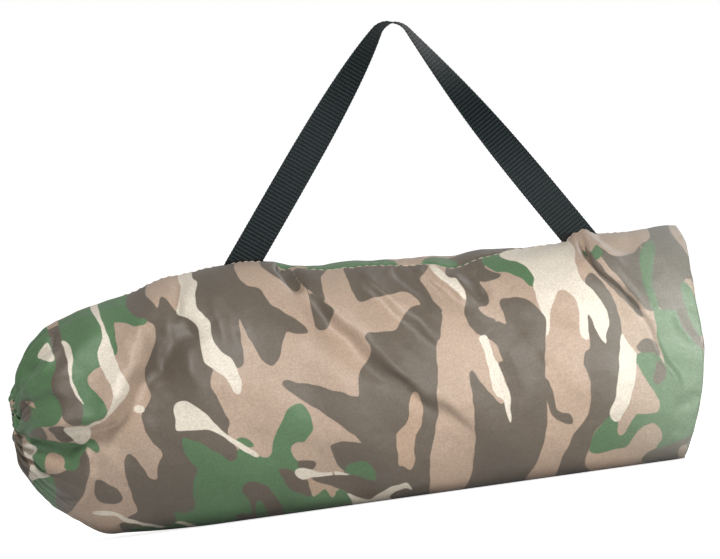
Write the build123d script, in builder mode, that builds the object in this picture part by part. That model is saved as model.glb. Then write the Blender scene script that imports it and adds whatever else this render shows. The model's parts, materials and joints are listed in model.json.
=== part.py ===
"""A round carry bag of thin printed cloth, packed full and drawn shut at one end, with a webbing strap.

The bag lies along X on its own weight: the mouth, gathered on a draw cord, is at -X and a round
end panel closes it at +X. One seam joins the cloth into a tube. It runs along the top, and both
ends of the carry strap are sewn into it. The strap stands up in an arch, turns half a turn about
its own length between its ends, and swings to either side of the seam.

The origin is on the ground under the middle of the bag, +Z is up and the front is at -Y.
Stations along the bag are measured from the mouth end, and turned into X by bag_x().
"""

import math
import os

from build123d import *

os.makedirs("parts", exist_ok=True)

# ---- Driving dimensions, in millimetres and degrees ----
BAG_LENGTH = 549.0
CLOTH = 1.2  # the cloth with the slack air under it
LAYER_GAP = 0.1  # between pieces that lie on each other
PAST_PANEL = -1.0  # an inset that carries a cut out through the end panel

# The packed body: (station, height of its top). Every section is a circle that reaches
# BASE_SINK under the ground before the ground flattens it.
BODY_TOPS = ((118, 192), (155, 200), (200, 201.5), (250, 192), (365, 184), (440, 182), (510, 184))
BODY_END = 572.0  # the sections run past the end panel, which trims them
BASE_SINK = 5.0

# The nose: a half ellipse that carries the body in to the mouth
NOSE_LENGTH = 100.0
NOSE_STATIONS = (5.5, 8.5, 14, 24, 40, 64, 88)
NOSE_RADIUS = 93.5
NOSE_CENTRE = 95.0
MOUTH_CENTRE = 108.0  # the mouth sits a little above the nose's middle
MOUTH_BLEND = 24.0  # how far in the centre line has settled to the nose's

# The end panel: a shallow dome that leans out at its top
PANEL_TOP_STATION = 547.4
PANEL_TOP = 184.0
PANEL_LEAN = 5.7
PANEL_BULGE = 7.5

# The gathered mouth: a hem turned over the draw cord
HEM_STATION = 4.6
HEM_RING = 11.0
HEM_TUBE = 4.4
CORD_RADIUS = 2.3
CORD_END_RADIUS = 2.0  # pulled thin where it comes out to the knot
CORD_FIT = 0.3
KNOT_RADIUS = 5.2

# What is packed inside
ROLL_GAP = 4.2  # cloth to roll, where seams and strap tails lie
ROLL_START = 16.0

# Seams
ALLOWANCE_WIDTH = 12.0
ALLOWANCE = 0.8
TOP_SEAM = (100.0, 534.0)  # stations; nearer the mouth the seam is gathered with the cloth
THREAD_WIDTH = 0.9
THREAD_RISE = 0.5
STITCH_PITCH = 6.0
STITCH_LENGTH = 4.0
STITCH_ASIDE = 3.5  # the stitch line's distance from the seam's middle
TACK_PITCH = 5.0  # the close stitches that hold a strap end
TACK_STEPS = range(-2, 3)
HEM_STITCH_RING = 20.0
HEM_STITCHES = 20
PANEL_STITCHES = 90
PANEL_STITCHES_IN = 5.0  # their distance in from the panel's rim
PANEL_STITCHES_FROM = 10.0  # height; under it the cloth is folded against the ground
SEAM_CLEARANCE = 1.0  # between the panel seam's allowance and the top seam's
THREAD_GAP = 0.06  # thread to the cloth under it
TOP_THREAD_GAP = 0.09  # more on the top line, whose curve rises under a straight stitch

# The carry strap
WEBBING_WIDTH = 25.0
WEBBING = 1.6
LEFT_END = (201.0, 204.0)  # where the hinge line leaves the seam: station, height
RIGHT_END = (461.0, 189.5)
ARCH_TOP = 373.5
ARCH_STATION = 340.0
ARCH_RADIUS = 15.0
HINGE_GAP = 0.95  # clears the tail as the strap swings
TAIL_LENGTH = 24.0  # the webbing hidden in the seam
TAIL_DEPTH = 3.0  # how far under its foot the webbing has bent over
POST_DEPTH = 30.0  # more than the cloth and its layers under a foot
LEG_SECTIONS = 6
ARCH_SECTIONS = 5


def bag_x(station):
    """The X of a station measured from the mouth end."""
    return station - BAG_LENGTH / 2


def nose_radius(station):
    return NOSE_RADIUS * math.sqrt(1 - (1 - station / NOSE_LENGTH) ** 2)


def nose_centre(station):
    settle = max(0.0, 1 - station / MOUTH_BLEND)
    return NOSE_CENTRE + (MOUTH_CENTRE - NOSE_CENTRE) * settle**2


def body_stations():
    """(X, centre height, radius) of every section, from the mouth to past the end panel."""
    nose = [(bag_x(s), nose_centre(s), nose_radius(s)) for s in NOSE_STATIONS]
    tops = (*BODY_TOPS, (BODY_END, BODY_TOPS[-1][1]))
    body = [(bag_x(s), (top - BASE_SINK) / 2, (top + BASE_SINK) / 2) for s, top in tops]
    return nose + body


def moved_in(stations, inset):
    """The same sections with the wall moved in by inset along its own slope."""
    moved = []
    last = len(stations) - 1
    for k, (x, centre, radius) in enumerate(stations):
        x_before, _, r_before = stations[max(k - 1, 0)]
        x_after, _, r_after = stations[min(k + 1, last)]
        slope = math.atan2(r_after - r_before, x_after - x_before)
        moved.append((x + inset * math.sin(slope), centre, radius - inset * math.cos(slope)))
    return moved


PANEL_RADIUS = (PANEL_TOP + BASE_SINK) / 2
PANEL_ANGLE = math.radians(PANEL_LEAN)
PANEL_OUT = (math.cos(PANEL_ANGLE), 0, -math.sin(PANEL_ANGLE))
PANEL_UP = (math.sin(PANEL_ANGLE), 0, math.cos(PANEL_ANGLE))
PANEL_MIDDLE = Vector(bag_x(PANEL_TOP_STATION), 0, PANEL_TOP) - Vector(PANEL_UP) * PANEL_RADIUS
DOME_RADIUS = (PANEL_RADIUS**2 + PANEL_BULGE**2) / (2 * PANEL_BULGE)
DOME_CENTRE = PANEL_MIDDLE - Vector(PANEL_OUT) * (DOME_RADIUS - PANEL_BULGE)


def body_form(inset, panel_inset=None, base=None):
    """The packed bag as a solid, its wall, its end panel and its base each moved in."""
    trim = inset if panel_inset is None else panel_inset
    floor = max(inset, 0) if base is None else base
    with BuildPart() as form:
        for x, centre, radius in moved_in(body_stations(), inset):
            with BuildSketch(Plane.YZ.offset(x)):
                with Locations((0, centre)):
                    Circle(radius)
        loft(ruled=True)
        split(bisect_by=Plane.XY.offset(floor), keep=Keep.TOP)
        with Locations(DOME_CENTRE):
            Sphere(DOME_RADIUS - trim, mode=Mode.INTERSECT)
    return form.part


def top_at(station):
    """The height of the body's top line, and its slope, at a station."""
    sections = [(x + BAG_LENGTH / 2, centre + radius) for x, centre, radius in body_stations()]
    for (s0, z0), (s1, z1) in zip(sections, sections[1:]):
        if s0 <= station <= s1:
            slope = (z1 - z0) / (s1 - s0)
            return z0 + slope * (station - s0), slope
    raise ValueError(f"no section reaches station {station}")


def write(name, part):
    part.label = name
    export_step(part, f"parts/{name}.step")


HIDDEN_ALLOWANCE = CLOTH + LAYER_GAP + ALLOWANCE
HIDDEN_TAIL = HIDDEN_ALLOWANCE + LAYER_GAP + WEBBING


# ---- The carry strap's line ----
def unit(x, z):
    size = math.hypot(x, z)
    return x / size, z / size


AXIS = unit(RIGHT_END[0] - LEFT_END[0], RIGHT_END[1] - LEFT_END[1])
AXIS_UP = (-AXIS[1], AXIS[0])
LEFT_FOOT = (bag_x(LEFT_END[0]), LEFT_END[1])
RIGHT_FOOT = (bag_x(RIGHT_END[0]), RIGHT_END[1])
ARCH_CENTRE = (bag_x(ARCH_STATION), ARCH_TOP - WEBBING / 2 - ARCH_RADIUS)


def tangent_angle(foot, side):
    """The angle round the arch, from straight up, where the leg from foot touches it."""
    dx = (foot[0] - ARCH_CENTRE[0]) * side
    dz = foot[1] - ARCH_CENTRE[1]
    reach = math.hypot(dx, dz)
    return math.atan2(dx, dz) - math.acos(ARCH_RADIUS / reach)


LEFT_TOUCH = -tangent_angle(LEFT_FOOT, -1)
RIGHT_TOUCH = tangent_angle(RIGHT_FOOT, 1)


def arch_point(angle):
    return (
        ARCH_CENTRE[0] + ARCH_RADIUS * math.sin(angle),
        ARCH_CENTRE[1] + ARCH_RADIUS * math.cos(angle),
    )


def between(start, end, share):
    return tuple(a + (b - a) * share for a, b in zip(start, end))


def strap_line():
    """Points of the strap's middle line from the left foot over the arch to the right foot."""
    left, right = arch_point(LEFT_TOUCH), arch_point(RIGHT_TOUCH)
    points = [between(LEFT_FOOT, left, k / LEG_SECTIONS) for k in range(LEG_SECTIONS)]
    turn = RIGHT_TOUCH - LEFT_TOUCH
    points += [
        arch_point(LEFT_TOUCH + turn * k / (ARCH_SECTIONS - 1)) for k in range(ARCH_SECTIONS)
    ]
    points += [between(right, RIGHT_FOOT, k / LEG_SECTIONS) for k in range(1, LEG_SECTIONS + 1)]
    return points


def twist(share):
    """How far the webbing has turned about its length, share running -1 to 1 from foot to foot."""
    return math.radians(90) * (1.5 * share - 0.5 * share**3)


def strap_sections():
    """(plane, width) of each section. The first and last lie along the hinge line."""
    points = strap_line()
    lengths = [math.dist(a, b) for a, b in zip(points, points[1:])]
    along = [sum(lengths[:k]) for k in range(len(points))]
    middle = len(points) // 2
    sections = []
    for k, (x, z) in enumerate(points):
        before, after = points[max(k - 1, 0)], points[min(k + 1, len(points) - 1)]
        tx, tz = unit(after[0] - before[0], after[1] - before[1])
        half = along[middle] if k < middle else along[-1] - along[middle]
        turned = twist((along[k] - along[middle]) / half)
        if k in (0, len(points) - 1):
            # Cut along the hinge line, so the cut is longer than the webbing is wide
            inward = 1 if k == 0 else -1
            rise = abs(tx * AXIS_UP[0] + tz * AXIS_UP[1])
            lift = HINGE_GAP / rise * inward
            plane = Plane(
                origin=(x + tx * lift, 0, z + tz * lift),
                x_dir=(-AXIS[0], 0, -AXIS[1]),
                z_dir=(AXIS_UP[0] * inward, 0, AXIS_UP[1] * inward),
            )
            sections.append((plane, WEBBING_WIDTH / rise))
            continue
        # The edge that faces forward at the top of the arch is on the left at both feet
        edge = (tz * math.sin(turned), -math.cos(turned), -tx * math.sin(turned))
        plane = Plane(origin=(x, 0, z), x_dir=edge, z_dir=(tx, 0, tz))
        sections.append((plane, WEBBING_WIDTH))
    return sections


def make_strap():
    with BuildPart() as carry_strap:
        for plane, width in strap_sections():
            with BuildSketch(plane):
                Rectangle(width, WEBBING)
        loft()
    write("carry_strap", carry_strap.part)


# ---- The strap's sewn tails ----
def tail_outline(foot, leg, top, bottom):
    """Corners of the webbing between two heights above the hinge line, in X and Z."""
    rise = leg[0] * AXIS_UP[0] + leg[1] * AXIS_UP[1]
    half = WEBBING_WIDTH / abs(rise) / 2
    corners = []
    for height, side in ((top, -1), (top, 1), (bottom, 1), (bottom, -1)):
        corners.append(
            (
                foot[0] + leg[0] * height / rise + AXIS[0] * half * side,
                foot[1] + leg[1] * height / rise + AXIS[1] * half * side,
            )
        )
    return corners


def tail_post(foot, leg, thickness, top, bottom):
    """The upright part of a tail: it comes up through the seam to the hinge line."""
    with BuildPart() as post:
        with BuildSketch(Plane.XZ):
            with BuildLine():
                Polyline(*tail_outline(foot, leg, top, bottom), close=True)
            make_face()
        extrude(amount=thickness / 2, both=True)
    return post.part


LEFT_LEG = unit(arch_point(LEFT_TOUCH)[0] - LEFT_FOOT[0], arch_point(LEFT_TOUCH)[1] - LEFT_FOOT[1])
RIGHT_LEG = unit(
    arch_point(RIGHT_TOUCH)[0] - RIGHT_FOOT[0], arch_point(RIGHT_TOUCH)[1] - RIGHT_FOOT[1]
)
FEET = {"left": (LEFT_FOOT, LEFT_LEG), "right": (RIGHT_FOOT, RIGHT_LEG)}


def make_tail(side):
    """Webbing bent over inside the bag, flat against the seam allowance, with its post."""
    foot, leg = FEET[side]
    post = tail_post(foot, leg, WEBBING, -HINGE_GAP, -POST_DEPTH)
    layer_outside = body_form(HIDDEN_ALLOWANCE + LAYER_GAP)
    layer_inside = body_form(HIDDEN_TAIL)
    under_foot = foot[0] - leg[0] / leg[1] * TAIL_DEPTH
    with BuildPart() as tail:
        with Locations((under_foot, (TAIL_LENGTH - WEBBING) / 2, foot[1])):
            Box(WEBBING_WIDTH, TAIL_LENGTH, 2 * WEBBING_WIDTH)
        add(layer_outside, mode=Mode.INTERSECT)
        add(layer_inside, mode=Mode.SUBTRACT)
    with BuildPart() as upright:
        add(post)
        add(layer_inside, mode=Mode.SUBTRACT)
    with BuildPart() as joined:
        add(tail.part)
        add(upright.part)
    write(f"strap_tail_{side}", joined.part)


def slit(side):
    """The opening in the seam that a tail's post comes up through."""
    foot, leg = FEET[side]
    return tail_post(foot, leg, WEBBING + 2 * LAYER_GAP, POST_DEPTH, -POST_DEPTH)


# ---- The cloth ----
def make_body_cloth():
    """The tube: one width of cloth round the contents, drawn in to the mouth."""
    with BuildPart() as body_cloth:
        add(body_form(0))
        add(body_form(CLOTH, panel_inset=PAST_PANEL), mode=Mode.SUBTRACT)
        with BuildSketch(Plane.YZ.offset(bag_x(0))):
            with Locations((0, MOUTH_CENTRE)):
                Circle(HEM_RING + HEM_TUBE + LAYER_GAP)
        extrude(amount=ROLL_START, mode=Mode.SUBTRACT)
        add(slit("left"), mode=Mode.SUBTRACT)
        add(slit("right"), mode=Mode.SUBTRACT)
    write("body_cloth", body_cloth.part)


def make_end_panel():
    """The round panel that closes the far end, inside the tube's rim."""
    with BuildPart() as end_panel:
        add(body_form(CLOTH + LAYER_GAP, panel_inset=0))
        with Locations(DOME_CENTRE):
            Sphere(DOME_RADIUS - CLOTH, mode=Mode.SUBTRACT)
    write("end_panel", end_panel.part)


def make_mouth_hem():
    """The gathered hem: a cloth tube bent into a ring round the draw cord."""
    with BuildPart() as mouth_hem:
        with BuildSketch(Plane.XZ):
            with Locations((bag_x(HEM_STATION), MOUTH_CENTRE - HEM_RING)):
                Circle(HEM_TUBE)
                Circle(CORD_RADIUS + CORD_FIT, mode=Mode.SUBTRACT)
        revolve(axis=Axis((0, 0, MOUTH_CENTRE), (1, 0, 0)))
        # The gap where the cord's two ends come out of the hem
        with BuildSketch(Plane.XY.offset(MOUTH_CENTRE)):
            with Locations((bag_x(HEM_STATION), 0)):
                Circle(CORD_END_RADIUS + CORD_FIT)
        extrude(amount=HEM_RING, mode=Mode.SUBTRACT)
    write("mouth_hem", mouth_hem.part)


def make_draw_cord():
    """The cord round the mouth, with its ends brought in and knotted."""
    with BuildPart() as draw_cord:
        with BuildSketch(Plane.XZ):
            with Locations((bag_x(HEM_STATION), MOUTH_CENTRE - HEM_RING)):
                Circle(CORD_RADIUS)
        revolve(axis=Axis((0, 0, MOUTH_CENTRE), (1, 0, 0)))
        with BuildSketch(Plane.XY.offset(MOUTH_CENTRE)):
            with Locations((bag_x(HEM_STATION), 0)):
                Circle(CORD_END_RADIUS)
        extrude(amount=HEM_RING)
        with Locations((bag_x(HEM_STATION), 0, MOUTH_CENTRE)):
            Sphere(KNOT_RADIUS)
    write("draw_cord", draw_cord.part)


def make_packed_roll():
    """The soft bundle that fills the bag and gives it its shape."""
    with BuildPart() as packed_roll:
        add(body_form(ROLL_GAP, base=HIDDEN_ALLOWANCE + LAYER_GAP))
        split(bisect_by=Plane.YZ.offset(bag_x(ROLL_START)), keep=Keep.TOP)
    write("packed_roll", packed_roll.part)


# ---- Seams ----
def make_top_seam_allowance():
    """The tube seam's turned-in edges, flat against the cloth under the top line."""
    start, stop = TOP_SEAM
    with BuildPart() as allowance:
        with Locations((bag_x((start + stop) / 2), 0, BAG_LENGTH / 2)):
            Box(stop - start, ALLOWANCE_WIDTH, BAG_LENGTH / 2)
        add(body_form(CLOTH + LAYER_GAP), mode=Mode.INTERSECT)
        add(body_form(HIDDEN_ALLOWANCE), mode=Mode.SUBTRACT)
        add(slit("left"), mode=Mode.SUBTRACT)
        add(slit("right"), mode=Mode.SUBTRACT)
    write("top_seam_allowance", allowance.part)


def make_end_seam_allowance():
    """The panel seam's turned-in edge, a band round the inside of the tube's far rim."""
    rim = Plane(origin=PANEL_MIDDLE, x_dir=(0, 1, 0), z_dir=PANEL_OUT)
    with BuildPart() as band:
        add(body_form(CLOTH + LAYER_GAP))
        add(body_form(HIDDEN_ALLOWANCE, panel_inset=PAST_PANEL), mode=Mode.SUBTRACT)
        split(bisect_by=rim.offset(-ALLOWANCE_WIDTH), keep=Keep.TOP)
        # It stops each side of the top seam's allowance
        with Locations((bag_x(PANEL_TOP_STATION), 0, PANEL_TOP)):
            gap = ALLOWANCE_WIDTH + SEAM_CLEARANCE
            Box(4 * ALLOWANCE_WIDTH, gap, ALLOWANCE_WIDTH, mode=Mode.SUBTRACT)
    write("end_seam_allowance", band.part)


def stitch(plane, length):
    """One stitch of thread lying on a plane, along its x."""
    with BuildPart(plane) as thread:
        Box(length, THREAD_WIDTH, THREAD_RISE, align=(Align.CENTER, Align.CENTER, Align.MIN))
    return thread.part


def top_plane(station, aside):
    """The plane on the cloth at a station of the top line, moved aside in Y."""
    height, slope = top_at(station)
    radius = (height + BASE_SINK) / 2
    drop = radius - math.sqrt(radius**2 - aside**2) - TOP_THREAD_GAP
    upright = (-slope, aside / radius, 1)
    return Plane(origin=(bag_x(station), aside, height - drop), x_dir=(1, 0, slope), z_dir=upright)


def make_top_seam_stitches():
    """A row of stitches in front of the seam, stopping where the strap's ends are sewn in."""
    start, stop = TOP_SEAM
    clear = WEBBING_WIDTH / 2 + STITCH_PITCH * 1.5
    with BuildPart() as stitches:
        for k in range(int((stop - start) / STITCH_PITCH)):
            station = start + (k + 0.5) * STITCH_PITCH
            if min(abs(station - LEFT_END[0]), abs(station - RIGHT_END[0])) > clear:
                add(stitch(top_plane(station, -STITCH_ASIDE), STITCH_LENGTH))
    write("top_seam_stitches", stitches.part)


def make_strap_tack(side):
    """Two rows of close stitches beside a strap end, one each side of the seam."""
    middle = {"left": LEFT_END[0], "right": RIGHT_END[0]}[side]
    with BuildPart() as tack:
        for step in TACK_STEPS:
            for aside in (-STITCH_ASIDE, STITCH_ASIDE):
                add(stitch(top_plane(middle + step * TACK_PITCH, aside), STITCH_LENGTH))
    write(f"strap_tack_{side}", tack.part)


def make_hem_stitches():
    """The ring of stitches that holds the hem's channel shut."""
    station = NOSE_STATIONS[0]
    with BuildPart() as stitches:
        with BuildSketch(Plane.YZ.offset(bag_x(station) - THREAD_GAP)):
            with Locations((0, MOUTH_CENTRE)):
                with PolarLocations(HEM_STITCH_RING, HEM_STITCHES):
                    Rectangle(THREAD_WIDTH, STITCH_LENGTH)
        extrude(amount=-THREAD_RISE)
    write("hem_stitches", stitches.part)


def make_end_seam_stitches():
    """The ring of stitches on the end panel, just inside its rim."""
    ring = PANEL_RADIUS - PANEL_STITCHES_IN
    depth = math.sqrt(DOME_RADIUS**2 - ring**2)
    with BuildPart() as stitches:
        for k in range(PANEL_STITCHES):
            turn = 2 * math.pi * k / PANEL_STITCHES
            across = Vector(0, math.sin(turn), 0) + Vector(PANEL_UP) * math.cos(turn)
            along = Vector(0, math.cos(turn), 0) - Vector(PANEL_UP) * math.sin(turn)
            outward = (Vector(PANEL_OUT) * depth + across * ring).normalized()
            point = DOME_CENTRE + outward * (DOME_RADIUS + THREAD_GAP)
            # The cloth on the ground is folded under, so no stitch shows there
            if point.Z > PANEL_STITCHES_FROM:
                add(stitch(Plane(origin=point, x_dir=along, z_dir=outward), STITCH_LENGTH))
    write("end_seam_stitches", stitches.part)


make_body_cloth()
make_end_panel()
make_mouth_hem()
make_draw_cord()
make_packed_roll()
make_top_seam_allowance()
make_end_seam_allowance()
make_top_seam_stitches()
make_hem_stitches()
make_end_seam_stitches()
make_strap()
for strap_side in FEET:
    make_tail(strap_side)
    make_strap_tack(strap_side)
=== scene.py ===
"""The looks of a packed camouflage carry bag, built round its CAD frame.

Lengths in this script are in millimetres unless a name ends in _M, or it is in the last section,
which sets the lights and the camera. A place on the bag is a station, measured along it from the
gathered mouth, and a height over the ground.
"""

import json
import math

import bpy
import numpy as np
from mathutils import Matrix, Vector


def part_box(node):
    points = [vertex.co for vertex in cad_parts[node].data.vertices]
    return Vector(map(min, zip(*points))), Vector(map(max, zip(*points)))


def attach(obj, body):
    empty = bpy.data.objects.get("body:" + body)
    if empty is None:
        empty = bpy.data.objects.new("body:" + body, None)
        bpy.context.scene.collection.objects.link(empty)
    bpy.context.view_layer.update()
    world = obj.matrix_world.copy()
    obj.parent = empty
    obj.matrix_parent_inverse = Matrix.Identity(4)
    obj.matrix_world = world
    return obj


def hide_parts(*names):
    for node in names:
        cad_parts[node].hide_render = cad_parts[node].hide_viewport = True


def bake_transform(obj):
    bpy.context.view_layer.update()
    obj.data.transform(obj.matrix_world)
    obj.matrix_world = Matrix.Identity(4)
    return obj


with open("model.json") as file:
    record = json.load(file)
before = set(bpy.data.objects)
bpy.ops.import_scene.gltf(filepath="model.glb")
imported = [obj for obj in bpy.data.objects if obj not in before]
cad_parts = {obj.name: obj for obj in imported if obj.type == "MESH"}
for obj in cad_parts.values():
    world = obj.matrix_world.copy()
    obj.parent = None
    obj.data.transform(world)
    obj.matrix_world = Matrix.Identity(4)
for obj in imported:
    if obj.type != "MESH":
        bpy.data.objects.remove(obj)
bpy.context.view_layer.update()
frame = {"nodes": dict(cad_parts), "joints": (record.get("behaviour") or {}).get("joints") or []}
MM = 0.001

# ---- Places taken from the frame ----
MOUTH_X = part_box("mouth_hem")[0].x / MM - 0.2
MOUTH_Z = sum(corner.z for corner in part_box("mouth_hem")) / 2 / MM
HINGE = frame["joints"][0]
HINGE_POINT = np.array(HINGE["pos_m"]) / MM
HINGE_AXIS = np.array(HINGE["axis"])
STRAP_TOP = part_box("carry_strap")[1].z / MM


def tack_station(side):
    """The station where a strap end is sewn in."""
    low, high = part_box(f"strap_tack_{side}")
    return (low.x + high.x) / 2 / MM - MOUTH_X


LEFT_FOOT = tack_station("left")
RIGHT_FOOT = tack_station("right")

# ---- The bag's form ----
# (station, height) of its top line, clear of the peaks where the strap pulls it up
TOP_LINE = (
    (60, 179.5),
    (80, 184.5),
    (110, 191),
    (142, 198.5),
    (174, 201),
    (205, 201.5),
    (224, 198.5),
    (240, 193.5),
    (280, 190),
    (330, 186.5),
    (380, 184.5),
    (430, 182.5),
    (452, 182),
    (475, 184.5),
    (541, 183.8),
)
# (station, height) of the underside. Under zero it is the ground that flattens it.
BASE_LINE = ((60, 5), (80, 2.5), (100, 0), (130, -3), (160, -5), (541, -5))
# (station, centre height, radius, lean) of the rings that carry the form in to the mouth
NOSE = (
    (13, MOUTH_Z, 5.5, 0),
    (8, MOUTH_Z, 7.5, 0),
    (5.2, MOUTH_Z - 1, 11, 0.5),
    (3.2, MOUTH_Z - 4, 16, 1.5),
    (2.6, MOUTH_Z - 8, 21.5, 2.0),
    (3.4, 95.5, 26, 1.8),
    (5.6, 92, 31.5, 1.0),
    (10, 94.5, 44.5, 0),
    (17, 97, 57, 0),
    (25, 97.2, 66.5, 0),
    (36.5, 96.8, 76.6, 0),
)
END_STATION = 541.0
# (height, how far the end rim stands past END_STATION)
END_RIM = (
    (-5, -19),
    (12, -17),
    (22, -10.5),
    (40, -4),
    (52, 0.5),
    (80, 5.2),
    (105, 6.6),
    (135, 4.8),
    (168, 5.2),
    (184, -0.5),
)
PANEL_MIDDLE = 546.5
# (station, how far in front of the top line the seam lies, in degrees round the bag)
SEAM_LINE = (
    (60, 0),
    (225, 0),
    (250, 13),
    (280, 17),
    (300, 16),
    (320, 17),
    (340, 20),
    (354, 25),
    (364, 24),
    (380, 19.5),
    (397, 15),
    (412, 6),
    (428, 0),
    (472, 0),
    (500, -9),
    (541, -9),
)
GROUND_SOFTNESS = 2.2  # the radius at which the underside meets the ground
FOLD_GAIN = 1.65
GRID_ALONG = 390
GRID_AROUND = 430

# ---- Sizes of the pieces ----
CLOTH_THICKNESS = 0.35
SEAM_ROLL = 2.6
SEAM_FOLD = (6.0, 3.5, 1.2)  # how deep the rows of the seam's turned-in edge lie
PANEL_RINGS = 60
PANEL_TURNED_IN = (1.5, 4, 8)
CONTENTS_GAP = 3.5
CONTENTS_FROM = 26  # rings left empty at each end
CONTENTS_STEP = 3  # the contents' mesh has this fraction of the cloth's points
HEM_RING = 8.6
HEM_THICKNESS = 3.6
HEM_STATION = 5.2
THREAD_RADIUS = 0.36
STITCH_LENGTH = 4.0
STITCH_PITCH = 6.0
SEAM_STITCHES = (100.0, 534.0)
STITCH_ASIDE = 3.5
TACK_PITCH = 5.0
TACK_STEPS = range(-2, 3)
NOSE_ROWS = 40  # the hem's stitches are looked for in this many rings
HEM_STITCH_RING = 20.0
HEM_STITCHES = 20
PANEL_STITCHES = 90
PANEL_STITCH_SHARE = 0.93  # of the panel's radius
PANEL_STITCH_COLUMNS = 3
STITCHES_ABOVE = 10.0  # no panel stitch is lower, where the ground flattens the rim
CORD_RING = 9.0
CORD_RADIUS = 1.5
CORD_END_RADIUS = 1.1
KNOT_SIZE = 1.75
KNOT_RADIUS = 1.0
STRAP_WIDTH = 25.0
STRAP_THICKNESS = 1.6
ARCH_STATION = 340.0
ARCH_RADIUS = 15.0
ARCH_POINTS = 24
STRAP_SUNK = 11.0  # how far its ends go down into the seam
STRAP_STEPS = 820
STRAP_COLUMNS = 62
RIB_PITCH = 3.0  # the rows across the webbing
PICK_PITCH = 1.7  # the bumps along each row
RELIEF = 0.45
LEFT_TURN = 0.68  # under 1, the left leg turns to its flat face sooner from the top

# ---- Folds: (kind, height, width, outline) ----
# A step raises the cloth on the left of its line and lowers it on the right. A ridge stands out
# along its line, a valley sinks, and a tuck is a valley with steep sides.
FOLDS = (
    ("step", 8.4, 15, "6,93 30,91 58,92 78,96 92,108 103,124 114,140 123,157 130,172 142,194"),
    ("ridge", 3.0, 11, "30,126 52,140 74,160 88,182"),
    ("valley", 3.2, 3.0, "6,119 15,134 28,150 40,163 52,174"),
    ("valley", 1.4, 2.0, "9,122 18,140 26,151 36,161 46,170"),
    ("ridge", 1.6, 3.2, "8,121 24,132 40,146 56,166"),
    ("step", 2.2, 9, "6,119 22,121 38,120 52,113"),
    ("step", 2.4, 8, "6,91 20,87 34,81 48,78 60,77"),
    ("step", 1.6, 5, "7,89 13,75 20,64 30,53"),
    ("step", -2.4, 11, "56,80 60,66 58,52 48,38 34,26"),
    ("ridge", 1.4, 9, "30,98 52,84 76,60 90,40"),
    ("valley", 2.6, 5, "149,200 145,184 138,166"),
    ("valley", 4.0, 13, "112,124 126,142 144,156 164,168"),
    ("ridge", 1.6, 8, "152,158 148,120 150,88"),
    ("valley", 1.0, 7, "166,150 163,118 168,86"),
    ("valley", 1.0, 6, "190,196 188,160 190,130"),
    ("ridge", 1.0, 6, "176,196 174,160 178,130"),
    ("valley", 5.5, 3.6, "222,199 231,192 238,183 243,174"),
    (
        "step",
        3.6,
        14,
        "232,198 243,181 253,167 265,151 277,136 290,120 304,103 320,86 336,72 352,57 366,41 374,28",
    ),
    ("ridge", 1.6, 4, "243,181 265,152 290,121 320,87 350,59"),
    ("valley", 1.8, 9, "246,168 268,134 288,106 312,82"),
    ("step", 2.0, 9, "282,188 293,173 306,158 320,143 334,127 344,110"),
    ("ridge", 0.9, 3, "284,184 306,159 322,142"),
    ("valley", 1.2, 4, "312,182 328,166 344,148"),
    ("step", 1.4, 6, "330,181 341,166 352,148"),
    ("step", 2.2, 8, "341,182 352,166 363,153 372,143"),
    ("valley", 2.2, 4.5, "374,174 381,160 386,146"),
    ("ridge", 1.4, 4, "360,172 372,155 384,140"),
    ("ridge", 0.55, 1.3, "417,161 402,145 388,131 378,121 371,111"),
    ("valley", 0.3, 1.2, "354,96 372,97 394,97"),
    ("ridge", 1.8, 12, "392,120 401,84 408,46"),
    ("valley", 1.6, 10, "418,140 416,110 420,76"),
    ("ridge", 1.2, 9, "440,130 446,92 440,56"),
    ("tuck", 6.0, 2.6, "464,181 468,170 476,155 488,141 499,128 504,117"),
    ("step", -2.6, 6, "462,180 468,168 476,153 488,139 499,126 504,115 510,98"),
    ("ridge", 2.4, 4.5, "452,184 460,172 470,158 482,142 494,128 502,114"),
    ("ridge", 2.0, 6, "474,188 480,172 492,156 502,140 508,124"),
    ("ridge", 1.8, 3.2, "504,118 510,99 517,81 524,64 531,51"),
    ("step", -1.6, 9, "504,118 510,99 517,81 524,64 531,51"),
    ("valley", 2.6, 6, "474,190 486,179 500,175 514,177"),
    ("valley", 1.6, 5, "527,122 534,106 544,88"),
    ("valley", 1.0, 6, "519,166 514,146 516,124"),
    ("ridge", 1.6, 6, "512,24 522,12 524,2"),
    ("valley", 1.6, 5, "538,56 530,46 518,42"),
)

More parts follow.
